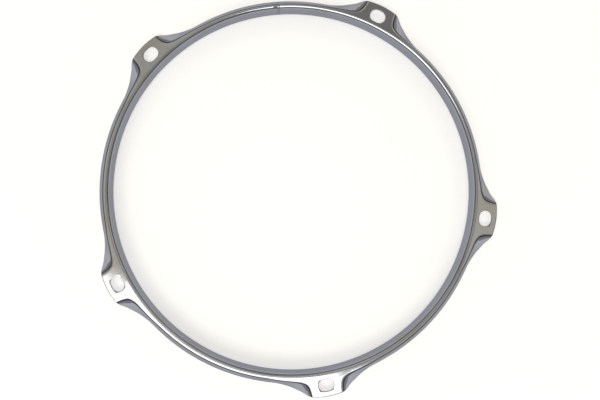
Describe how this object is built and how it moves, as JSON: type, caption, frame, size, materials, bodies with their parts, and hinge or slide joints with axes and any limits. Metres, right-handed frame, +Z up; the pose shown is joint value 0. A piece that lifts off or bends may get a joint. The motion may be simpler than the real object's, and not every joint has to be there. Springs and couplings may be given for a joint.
{
  "type": "timbale hoop",
  "caption": "Pressed steel drum hoop with a tall rolled wall, a stepped skirt that covers the head's ring, and slotted lugs for tension rods.",
  "frame": {"origin": "on the hoop's axis at its centre of mass, 5 mm above the top face of the step and the lug pads", "axes": "+Z up along the hoop's axis, towards the rolled lip that is played; +X through the middle of one lug"},
  "size_m": [0.4071, 0.4076, 0.0363],
  "materials": {
    "chrome_plate": "bright chrome plate over polished pressed steel, with fine lines round the hoop from rolling and buffing",
    "plated_weld": "chrome plate over a ground butt weld, a little duller than the strip"
  },
  "bodies": {
    "root": {"hoop_band": "chrome_plate", "seam_weld": "plated_weld"}
  },
  "joints": []
}
